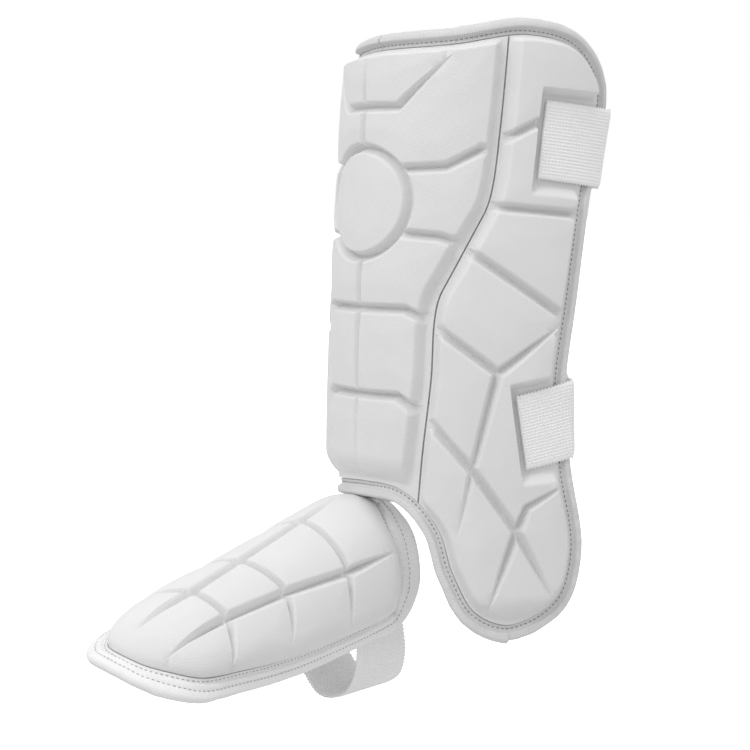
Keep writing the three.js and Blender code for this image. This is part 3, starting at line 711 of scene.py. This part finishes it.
front_grooves = [(clear_of_boss(line), tip) for line, tip in both_sides(FRONT_GROOVES)]
front_grooves += [(ring(*BOSS), False)]
outer_grooves = SIDE_GROOVES + EAR_GROOVES
inner_grooves = [(mirrored(line), tip) for line, tip in SIDE_GROOVES]

front_shell = slab(
    "front_shell_foam", leg_sheet, front_loop,
    foam_points(front_loop, [], front_grooves + CREASES, GROOVE_REACH),
    shin_height(FLANGE, FRONT_BEVEL, FRONT_FOOT, front_grooves, CREASES, []), plain(SEAT), BACK_STEP, KNIT)
outer_shell = slab(
    "outer_shell_foam", leg_sheet, outer_loop,
    foam_points(outer_loop, RECESSES, outer_grooves, GROOVE_REACH),
    shin_height(SIDE_FLANGE, SIDE_BEVEL, EAR_FOOT, outer_grooves, [], RECESSES),
    plain(SEAT), BACK_STEP, SIDE_KNIT)
inner_shell = slab(
    "inner_shell_foam", leg_sheet, inner_loop,
    foam_points(inner_loop, RECESSES, inner_grooves, GROOVE_REACH, -1, INNER_FINE),
    shin_height(SIDE_FLANGE, SIDE_BEVEL, INNER_FOOT, inner_grooves, [], RECESSES, -1),
    plain(SEAT), BACK_STEP, SIDE_KNIT)

# Foam of the foot guard: a wider sewn band at its outer rear edge, and tighter rounding at rear and sides
REAR_LIP, REAR_LEVELS, REAR_AROUND = 7, (150, 195), (-6, 20)
REAR_ROUND, ROUND_LEVELS, ROUND_AROUND = -3, (120, 190), (0, 30)
SIDE_ROUND, SIDE_LEVELS, SIDE_AROUND = -3, (20, 45), (14, 34)
foot_loop = edge_loop(FOOT_OUTER_EDGE, FOOT_INNER_EDGE, FOOT_STEP)
foot_rear = smooth(*REAR_LEVELS, foot_loop[:, 1]) * smooth(*REAR_AROUND, foot_loop[:, 0])
foot_foam_loop = inset(foot_loop, FOOT_LIP + REAR_LIP * foot_rear + CLEARANCE)
foot_edge = closed(foot_foam_loop[::2])
foot_grooves = []
for band in (FOOT_NEAR_BAND, FOOT_FAR_BAND):
    foot_grooves += [(band[1:-1], False), (band[1::-1], True), (band[-2:], True)]
foot_grooves += [([near, far], False) for near, far, end in FOOT_CROSS]
foot_grooves += [([near, end], True) for near, far, end in FOOT_CROSS]
foot_grooves += [([far, *mirrored([end])], True) for near, far, end in FOOT_CROSS]


def foot_height(points):
    edge = nearest(points, foot_edge)[0]
    rear = smooth(*ROUND_LEVELS, points[:, 1]) * smooth(*ROUND_AROUND, points[:, 0])
    flank = smooth(*SIDE_AROUND, np.abs(points[:, 0])) * smooth(*SIDE_LEVELS, points[:, 1])
    rise = round_off(edge / (FOOT_ROUND + REAR_ROUND * rear + SIDE_ROUND * flank))
    free = np.minimum(groove_apart(points, foot_grooves), edge)
    full = STITCHED_FOAM + (FOOT_FOAM - STITCHED_FOAM) * rise
    full = full + CROWN * rise * smooth(0, CROWN_REACH, free) - CROWN / 2 * rise
    return np.maximum(full - groove_cut(points, foot_grooves, FOOT_REACH, FOOT_DEPTH, ramp), STITCHED_FOAM)


foot_shell = slab(
    "foot_shell_foam", foot_sheet, foot_foam_loop,
    foam_points(foot_foam_loop, [], foot_grooves, FOOT_REACH, 1, FOOT_FINE),
    foot_height, plain(SEAT), FOOT_BACK_STEP, FOOT_KNIT)


# Backings, softly padded towards the leg and the foot
EDGE_THIN = 2.6
SHIN_PUFF, FOOT_PUFF, PUFF_REACH, THIN_REACH = 0.8, 0.6, 26, 10


def pad_back(edge, puff, thin=0.0, reach=THIN_REACH):
    def back(points):
        apart = nearest(points, edge)[0]
        return -LINER - puff * smooth(reach, PUFF_REACH, apart) + thin * (1 - clamp01(apart / reach))
    return back


shin_border = inset(shin_loop, TAPE + CLEARANCE)
shin_liner = slab(
    "shin_liner_pad", leg_sheet, shin_border, hex_fill(shin_border, LINER_STEP), plain(0),
    pad_back(closed(shin_border[::4]), SHIN_PUFF), LINER_STEP, BACKING)
foot_border = inset(foot_loop, TAPE + CLEARANCE)
foot_liner = slab(
    "foot_liner_pad", foot_sheet, foot_border, hex_fill(foot_border, LINER_STEP), plain(0),
    pad_back(closed(foot_border[::4]), FOOT_PUFF, EDGE_THIN, FOOT_LIP - TAPE - CLEARANCE),
    LINER_STEP, BACKING)


# Binding tapes
def waves(at, seed, parts=9, low=3.0, high=26.0):
    """A gentle made-up unevenness along a length."""
    rng = np.random.default_rng(seed)
    total = np.zeros_like(at)
    for period in np.geomspace(low, high, parts):
        total += np.sin(2 * math.pi * (at / period + rng.random())) * (period / high) ** 0.5
    return total / parts ** 0.5


# Profile of a tape: a roll at the edge, a sunk strip with rows of stitches, a bead at the lip
ROLL_ROUND, PLUSH_ROUND = 2.6, 2.2
STRIP_DROP, STRIP_WALL = 1.4, 1.3
STITCH_SINK, ROW_WIDTH, QUILT = 0.2, 0.9, 0.35
BEAD, BEAD_IN, BEAD_WIDTH = 0.5, 0.6, 0.45
INNER_FACE = 0.12
TOP_STEP, TOP_UNTIL, TOP_INSETS = 0.36, 2.0, [1.7, 1.3, 0.9, 0.55, 0.28, 0.1, 0]
UNDER_INSETS, UNDER_FROM, UNDER_STEP = [0.1, 0.3, 0.6, 1.1, 1.8], 2.8, 1.6
UNDER_ROUND = 3.0
LAYER_LINE, LAYER_AT, LAYER_WIDTH = 1.0, 0.26, 0.1

# Unevenness of a tape, and the lap where its ends meet
WAVE_AT, WAVE_WIDTH, WAVE_DRAW, WAVE_FADE = 0.6, 3.0, 0.8, 2.0
LAP_AT, LAP_RISE, LAP_LENGTH, LAP_OUT = (86.6, -79.3), 1.3, 14, 1.4

# Stitches: spacing, length, thickness, lift off the tape, and thickness along one stitch
STITCH_PITCH, STITCH_LENGTH = 2.9, 1.9
SHIN_STITCH, FOOT_STITCH, STITCH_LIFT = 0.55, 0.5, 0.2
STITCH_FLAT, STITCH_DIP, STITCH_LOOK = 0.8, 1.6, 0.6
STITCH_SIDES = 7
STITCH_BEADS = np.array([(-1, 0.15), (-0.8, 0.7), (-0.3, 1), (0.3, 1), (0.8, 0.7), (1, 0.15)])


def tape(name, surface, loop, lip, wide, plush, proud, lap, thin, roll, rows, pucker, seed, look):
    """Tape folded round a loop: a roll at the edge, a lower strip where it is sewn, and a bead at its lip."""
    n = len(loop)
    walked = lengths(closed(loop))[:-1]
    top, bottom = LIP_SEAT + TAPE, -LINER - SEAT - TAPE
    edge_bottom = bottom + thin
    middle = (top + edge_bottom) / 2
    insets = np.concatenate([np.arange(lip, TOP_UNTIL, -TOP_STEP), TOP_INSETS])
    unders = np.concatenate([UNDER_INSETS, np.arange(UNDER_FROM, lip, UNDER_STEP), [lip]])
    round_at = ROLL_ROUND + PLUSH_ROUND * plush
    swell = proud + lap
    wobble = waves(walked, seed) * pucker
    drawn = wobble * WAVE_DRAW - lap * LAP_OUT
    quilt = 0.5 + 0.5 * np.cos(2 * math.pi * walked / STITCH_PITCH)
    grid = []
    for d in insets:
        bulge = np.sqrt(1 - (1 - np.minimum(d / round_at, 1)) ** 2)
        out = middle + (top + swell - middle) * bulge
        out = out - (swell + STRIP_DROP) * ramp(roll, roll + STRIP_WALL, d)
        for row in rows:
            out = out - (STITCH_SINK + QUILT * quilt) * math.exp(-((d - row) / ROW_WIDTH) ** 2)
        out = out + BEAD * math.exp(-((d - lip + BEAD_IN) / BEAD_WIDTH) ** 2)
        out = out + wobble * math.exp(-((d - roll * WAVE_AT) / WAVE_WIDTH) ** 2)
        grid.append((d * wide + drawn * math.exp(-d / WAVE_FADE), out))
    for d in unders:
        bulge = math.sqrt(1 - (1 - min(d / UNDER_ROUND, 1)) ** 2)
        under = np.full(n, middle + (edge_bottom - thin * d / lip - middle) * bulge)
        notch = LAYER_LINE * math.exp(-((bulge - LAYER_AT) / LAYER_WIDTH) ** 2) if thin else 0.0
        grid.append((d + notch + drawn * math.exp(-d / WAVE_FADE), under))
    flat = np.ones(n)
    grid += [(lip * flat, (-LINER - SEAT) * flat), (TAPE * flat, (thin - LINER - SEAT) * flat),
             (TAPE * flat, INNER_FACE * flat), (lip * wide, INNER_FACE * flat)]
    into = inwards(loop)
    rings = [surface(loop + into * d[:, None], out) for d, out in grid]
    across = np.concatenate([lip - insets, lip + unders, [2 * lip, 3 * lip, 3 * lip, 4 * lip]])
    verts = np.vstack(rings)
    uv = np.vstack([np.column_stack([walked, np.full(n, a)]) for a in across])
    k = len(rings)
    r, i = np.meshgrid(np.arange(k), np.arange(n), indexing="ij")
    r, i = r.ravel(), i.ravel()
    nr, ni = (r + 1) % k, (i + 1) % n
    faces = np.column_stack([r * n + i, r * n + ni, nr * n + ni, nr * n + i])
    piece = mesh_piece(name, verts, faces, uv, look, sharp=60)
    if plush.any():
        piece.data.materials.append(PLUSH)
        piece.data.polygons.foreach_set("material_index", (plush[i] > 0.5).astype(np.int32))
    return piece, [rings[int(np.argmin(np.abs(insets - row)))] for row in rows], rings


def stitches(name, lines, normals_from, length, pitch, width, lift, look):
    """Short threads along lines on a surface."""
    turns, beads = STITCH_SIDES, STITCH_BEADS
    round_by = np.linspace(0, 2 * math.pi, turns, endpoint=False)
    verts, faces, uv = [], [], []
    base = 0
    for line, towards in zip(lines, normals_from):
        walked = lengths(line)
        for at in np.arange(pitch / 2, walked[-1] - pitch / 2, pitch):
            here, ahead, behind, beside = (
                np.array([np.interp(at + s, walked, src[:, k]) for k in range(3)])
                for s, src in ((0, line), (STITCH_LOOK, line), (-STITCH_LOOK, line), (0, towards)))
            t = (ahead - behind) / np.linalg.norm(ahead - behind)
            n = np.cross(t, beside - here)
            n /= np.linalg.norm(n)
            b = np.cross(n, t)
            centre = here + n * lift
            for x, fat in beads:
                sides = np.outer(np.cos(round_by), b) + np.outer(np.sin(round_by), n) * STITCH_FLAT
                drop = -n * lift * STITCH_DIP * x ** 4
                verts.append(centre + t * x * length / 2 + drop + sides * fat * width / 2)
                uv.append(np.column_stack([np.full(turns, at + x * length / 2), round_by * width / 2]))
            for q in range(len(beads) - 1):
                for k in range(turns):
                    a, c = base + q * turns + k, base + q * turns + (k + 1) % turns
                    faces.append((a, a + turns, c + turns, c))
            faces.append(tuple(base + k for k in range(turns)))
            faces.append(tuple(base + (len(beads) - 1) * turns + k for k in reversed(range(turns))))
            base += len(beads) * turns
    return mesh_piece(name, np.vstack(verts), faces, np.vstack(uv), look, sharp=80)


# Width of each tape's roll, its rows of stitches, and how plush, puckered and proud it is
SHIN_FOLD, SHIN_ROWS = 5.0, [7.5]
FOOT_FOLD, FOOT_ROWS = 8.0, [5.4, 10]
PLUSH_LEVELS = (205, 238)
PUCKER, FOOT_PUCKER = 0.25, 0.2
EAR_PUCKER, EAR_AROUND, EAR_LEVELS = 0.5, (95, 115), (60, -20)
PROUD, PLUSH_PROUD = 0.9, 0.4
SHIN_SEED, FOOT_SEED = 3, 5
plush = smooth(*PLUSH_LEVELS, shin_loop[:, 1])
pucker = PUCKER + EAR_PUCKER * smooth(*EAR_AROUND, shin_loop[:, 0]) * smooth(*EAR_LEVELS, shin_loop[:, 1])
lap_start = int(np.argmin(np.linalg.norm(shin_loop - LAP_AT, axis=1)))
lap_along = np.roll(np.arange(len(shin_loop)), lap_start) * SHIN_STEP
lap = LAP_RISE * np.exp(-lap_along / LAP_LENGTH)
foot_flat = np.zeros(len(foot_loop))
shin_tape, shin_lines, shin_rings = tape(
    "shin_binding_tape", leg_sheet, shin_loop, SHIN_LIP, np.ones(len(shin_loop)),
    plush, PROUD + PLUSH_PROUD * plush, lap, 0, SHIN_FOLD, SHIN_ROWS, pucker, SHIN_SEED, RIBBED)
foot_tape, foot_lines, foot_rings = tape(
    "foot_binding_tape", foot_sheet, foot_loop, FOOT_LIP, 1 + REAR_LIP / FOOT_LIP * foot_rear,
    foot_flat, foot_flat, foot_flat, EDGE_THIN, FOOT_FOLD, FOOT_ROWS, FOOT_PUCKER, FOOT_SEED, FOOT_RIBBED)


def beside(lines, rings):
    """For each sewn line, the ring just outside it."""
    found = []
    for line in lines:
        k = next(i for i, r in enumerate(rings) if r is line)
        found.append(closed(rings[k + 1]))
    return found


shin_thread = stitches(
    "shin_stitches", [closed(line) for line in shin_lines], beside(shin_lines, shin_rings),
    STITCH_LENGTH, STITCH_PITCH, SHIN_STITCH, STITCH_LIFT, THREAD)
foot_thread = stitches(
    "foot_stitches", [closed(line) for line in foot_lines], beside(foot_lines, foot_rings),
    STITCH_LENGTH, STITCH_PITCH, FOOT_STITCH, STITCH_LIFT, PALE_THREAD)


# Woven elastic straps: ribs along them that zigzag, and scalloped, thinner edges
RIBS, RIB_POINTS, RIB_RISE = 24, 3, 0.6
ZIGZAG, RIB_SWING = 1.05, 0.45
SCALLOP, EDGE_POWER = 1.2, 18
WEAVE_SINK, EDGE_SINK = 0.35, 0.5
SEWN_POINTS, CURVE_POINTS = 12, 40


def strap_line(surface, line, way, lean, out, place):
    """One edge of a strap at a height: on the guard, round the leg, and on the guard again."""
    start = np.linspace(0, 1, SEWN_POINTS)[:, None] * (np.subtract(line[1], line[0])) + line[0]
    first = surface(start, np.full(SEWN_POINTS, out))
    last = surface(start * (-1, 1), np.full(SEWN_POINTS, out))[::-1]
    back = np.linalg.inv(place)
    local = first @ back[:3, :3].T + back[:3, 3]
    low = 1 - np.abs(2 * np.arange(1, len(way) + 1) / (len(way) + 1) - 1)
    stops = np.column_stack([np.array(way, float), local[-1, 2] - lean * low])
    stops = stops @ place[:3, :3].T + place[:3, 3]
    curve = spline(np.vstack([first[-4:-3], first[-1:], stops, last[:1], last[3:4]]), False, CURVE_POINTS)
    return np.vstack([first[:-1], curve[CURVE_POINTS:-CURVE_POINTS], last[1:]])


def strap(name, out, lean, top_line, top_way, bottom_line, bottom_way, surface, place):
    under = out + SEAT + ELASTIC / 2
    top = strap_line(surface, top_line, top_way, lean, under, place)
    bottom = strap_line(surface, bottom_line, bottom_way, lean, under, place)
    length = (lengths(top)[-1] + lengths(bottom)[-1]) / 2
    count = int(length / ZIGZAG)
    top, bottom = resample(top, count), resample(bottom, count)
    width = np.linalg.norm(top - bottom, axis=1).mean()
    t = np.linspace(0, 1, RIBS * RIB_POINTS + 1)
    zig = np.arange(count) % 2 - 0.5
    along = np.gradient(top + bottom, axis=0)
    normal = np.cross(top - bottom, along)
    normal /= np.linalg.norm(normal, axis=1)[:, None]
    layers, uvs = [], []
    walked = np.arange(count) * length / (count - 1)
    for side in (1, -1):
        edge = np.abs(2 * t - 1) ** EDGE_POWER
        swing = t[None, :] + zig[:, None] * (RIB_SWING / RIBS) * (1 - edge)[None, :]
        swing = swing + (zig[:, None] * SCALLOP / width) * (edge * np.sign(2 * t - 1))[None, :]
        ribs = RIB_RISE * (0.5 + 0.5 * np.cos(2 * math.pi * RIBS * t))
        rise = side * (ELASTIC / 2 - WEAVE_SINK - EDGE_SINK * edge + ribs * (1 - edge))
        at = bottom[:, None] + (top - bottom)[:, None] * swing[..., None]
        at = at + normal[:, None] * rise[None, :, None]
        layers.append(at.reshape(-1, 3))
        uvs.append(np.column_stack([np.repeat(walked, len(t)), np.tile(t * width, count)]))
    m = len(t)
    r, c = np.meshgrid(np.arange(count - 1), np.arange(m - 1), indexing="ij")
    r, c = r.ravel(), c.ravel()
    shift = count * m
    outer = np.column_stack([r * m + c, (r + 1) * m + c, (r + 1) * m + c + 1, r * m + c + 1])
    inner = outer[:, ::-1] + shift
    i = np.arange(count - 1)
    low = np.column_stack([i * m, i * m + shift, (i + 1) * m + shift, (i + 1) * m])
    high = np.column_stack([i * m, (i + 1) * m, (i + 1) * m + shift, i * m + shift]) + m - 1
    c = np.arange(m - 1)
    begin = np.column_stack([c, c + 1, c + 1 + shift, c + shift])
    end = begin[:, ::-1] + (count - 1) * m
    faces = np.vstack([outer, inner, low, high, begin, end])
    piece = mesh_piece(name + "_woven", np.vstack(layers), faces, np.vstack(uvs), ELASTIC_WEAVE, sharp=70)
    return piece, (width * MM, length * MM)


straps = {}
for strap_name, spec in STRAPS.items():
    on_foot = strap_name == "foot_strap"
    straps[strap_name] = strap(
        strap_name, *spec, sole_sheet if on_foot else leg_sheet, foot_place() if on_foot else np.eye(4))

# Hidden tab at the instep
TAB_POINTS = 60
tab_half, tab_top, tab_bottom, tab_thick = TAB
tab_out = -LINER - TAPE - 2 * SEAT
tab_loop = resample(np.array([
    (-tab_half, tab_top), (tab_half, tab_top), (tab_half, tab_bottom), (-tab_half, tab_bottom),
    (-tab_half, tab_top)], float), TAB_POINTS)[:-1]
tab_piece = slab(
    "instep_tab_cloth", leg_sheet, tab_loop, hex_fill(tab_loop, TAB_STEP), plain(tab_out),
    plain(tab_out - tab_thick), TAB_STEP, BACKING)

# Each piece goes under the root body, and most hide the part of the model that they stand for
for piece, name, slot_name in (
        (front_shell, "front_shell", "knit_foam"), (outer_shell, "outer_shell", "knit_foam"),
        (inner_shell, "inner_shell", "knit_foam"), (foot_shell, "foot_shell", "knit_foam"),
        (shin_liner, "shin_liner", "backing"), (foot_liner, "foot_liner", "backing")):
    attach(piece, "root")
    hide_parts(name)
for piece, name, slot_name in (
        (shin_tape, "shin_binding", "tape"), (foot_tape, "foot_binding", "tape"),
        (tab_piece, "instep_tab", "backing")):
    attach(piece, "root")
    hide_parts(name)
for piece in (shin_thread, foot_thread):
    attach(piece, "root")
for name, (piece, flat) in straps.items():
    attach(piece, "root")
    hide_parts(name)

# Camera at the photo's angle
AZIMUTH, ELEVATION, DISTANCE, FOCAL, SIZE = 51, 5.3, 1.2, 2000, 750
ORIGIN_PIXEL = (462, 484)
SENSOR, CLIP_END = 36, 50
a, e = math.radians(AZIMUTH), math.radians(ELEVATION)
back = Vector((math.sin(a) * math.cos(e), -math.cos(a) * math.cos(e), math.sin(e)))
right = Vector((math.cos(a), math.sin(a), 0))
up = back.cross(right)
shift_x, shift_y = ((p - SIZE / 2) / FOCAL * DISTANCE for p in ORIGIN_PIXEL)
camera = bpy.data.objects.new("camera", bpy.data.cameras.new("camera"))
bpy.context.scene.collection.objects.link(camera)
pose = Matrix((right, up, back)).transposed().to_4x4()
pose.translation = back * DISTANCE - right * shift_x + up * shift_y
camera.matrix_world = pose
camera.data.sensor_width = SENSOR
camera.data.lens = FOCAL / SIZE * SENSOR
camera.data.clip_end = CLIP_END
bpy.context.scene.camera = camera

# Floor, lights and surroundings
FLOOR_DROP, FLOOR_HALF = 0.3, 30
floor_mesh = bpy.data.meshes.new("floor")
floor_corners = [(x * FLOOR_HALF, y * FLOOR_HALF, 0) for x, y in ((-1, -1), (1, -1), (1, 1), (-1, 1))]
floor_mesh.from_pydata(floor_corners, [], [(0, 1, 2, 3)])
floor = bpy.data.objects.new("floor", floor_mesh)
floor.location.z = cad_box[0].z - FLOOR_DROP
bpy.context.scene.collection.objects.link(floor)
floor_look, _, floor_shader = material("floor_paint", (0.9, 0.9, 0.9), 0.9, 0)
floor_shader.inputs["Emission Color"].default_value = (1, 1, 1, 1)
floor_shader.inputs["Emission Strength"].default_value = 1.0
floor.visible_diffuse = False
floor_mesh.materials.append(floor_look)

SKY_ABOVE, SKY_BELOW, SKY_BLEND = 0.8, 0.66, 0.3
world = bpy.data.worlds.new("studio")
bpy.context.scene.world = world
world.use_nodes = True
sky = world.node_tree
direction = node(sky, "ShaderNodeTexCoord").outputs["Generated"]
height = node(sky, "ShaderNodeSeparateXYZ", {0: direction}).outputs["Z"]
glow = node(sky, "ShaderNodeMapRange", {
    "Value": height, "From Min": -SKY_BLEND, "From Max": SKY_BLEND, "To Min": SKY_BELOW, "To Max": SKY_ABOVE})
sky.nodes["Background"].inputs["Color"].default_value = (1, 1, 1, 1)
sky.links.new(glow.outputs["Result"], sky.nodes["Background"].inputs["Strength"])
bright = node(sky, "ShaderNodeBackground", {"Color": (1, 1, 1, 1), "Strength": 1.0})
seen = node(sky, "ShaderNodeLightPath").outputs["Is Camera Ray"]
mix = node(sky, "ShaderNodeMixShader", {0: seen, 1: sky.nodes["Background"].outputs[0], 2: bright.outputs[0]})
sky.links.new(mix.outputs[0], sky.nodes["World Output"].inputs["Surface"])

# Lamps: name, place towards the camera, to its right and up, and power
LAMPS = [("key", (1.3, -0.9, 1.2), 9.5), ("top", (0.6, 0, 1.9), 7)]
LIT_CENTRE, LAMP_AIM, LAMP_SIZE = Vector((0, 0, 0.1)), Vector((0, -0.05, 0.08)), 1.0
for name, (near, aside, above), power in LAMPS:
    light = bpy.data.lights.new(name, "AREA")
    light.shape = "DISK"
    light.size = LAMP_SIZE
    light.energy = power
    lamp = bpy.data.objects.new(name, light)
    lamp.location = LIT_CENTRE + back * near + right * aside + up * above
    lamp.rotation_mode = "QUATERNION"
    lamp.rotation_quaternion = (LAMP_AIM - lamp.location).to_track_quat("-Z", "Y")
    bpy.context.scene.collection.objects.link(lamp)
bpy.context.scene.view_settings.view_transform = "Standard"
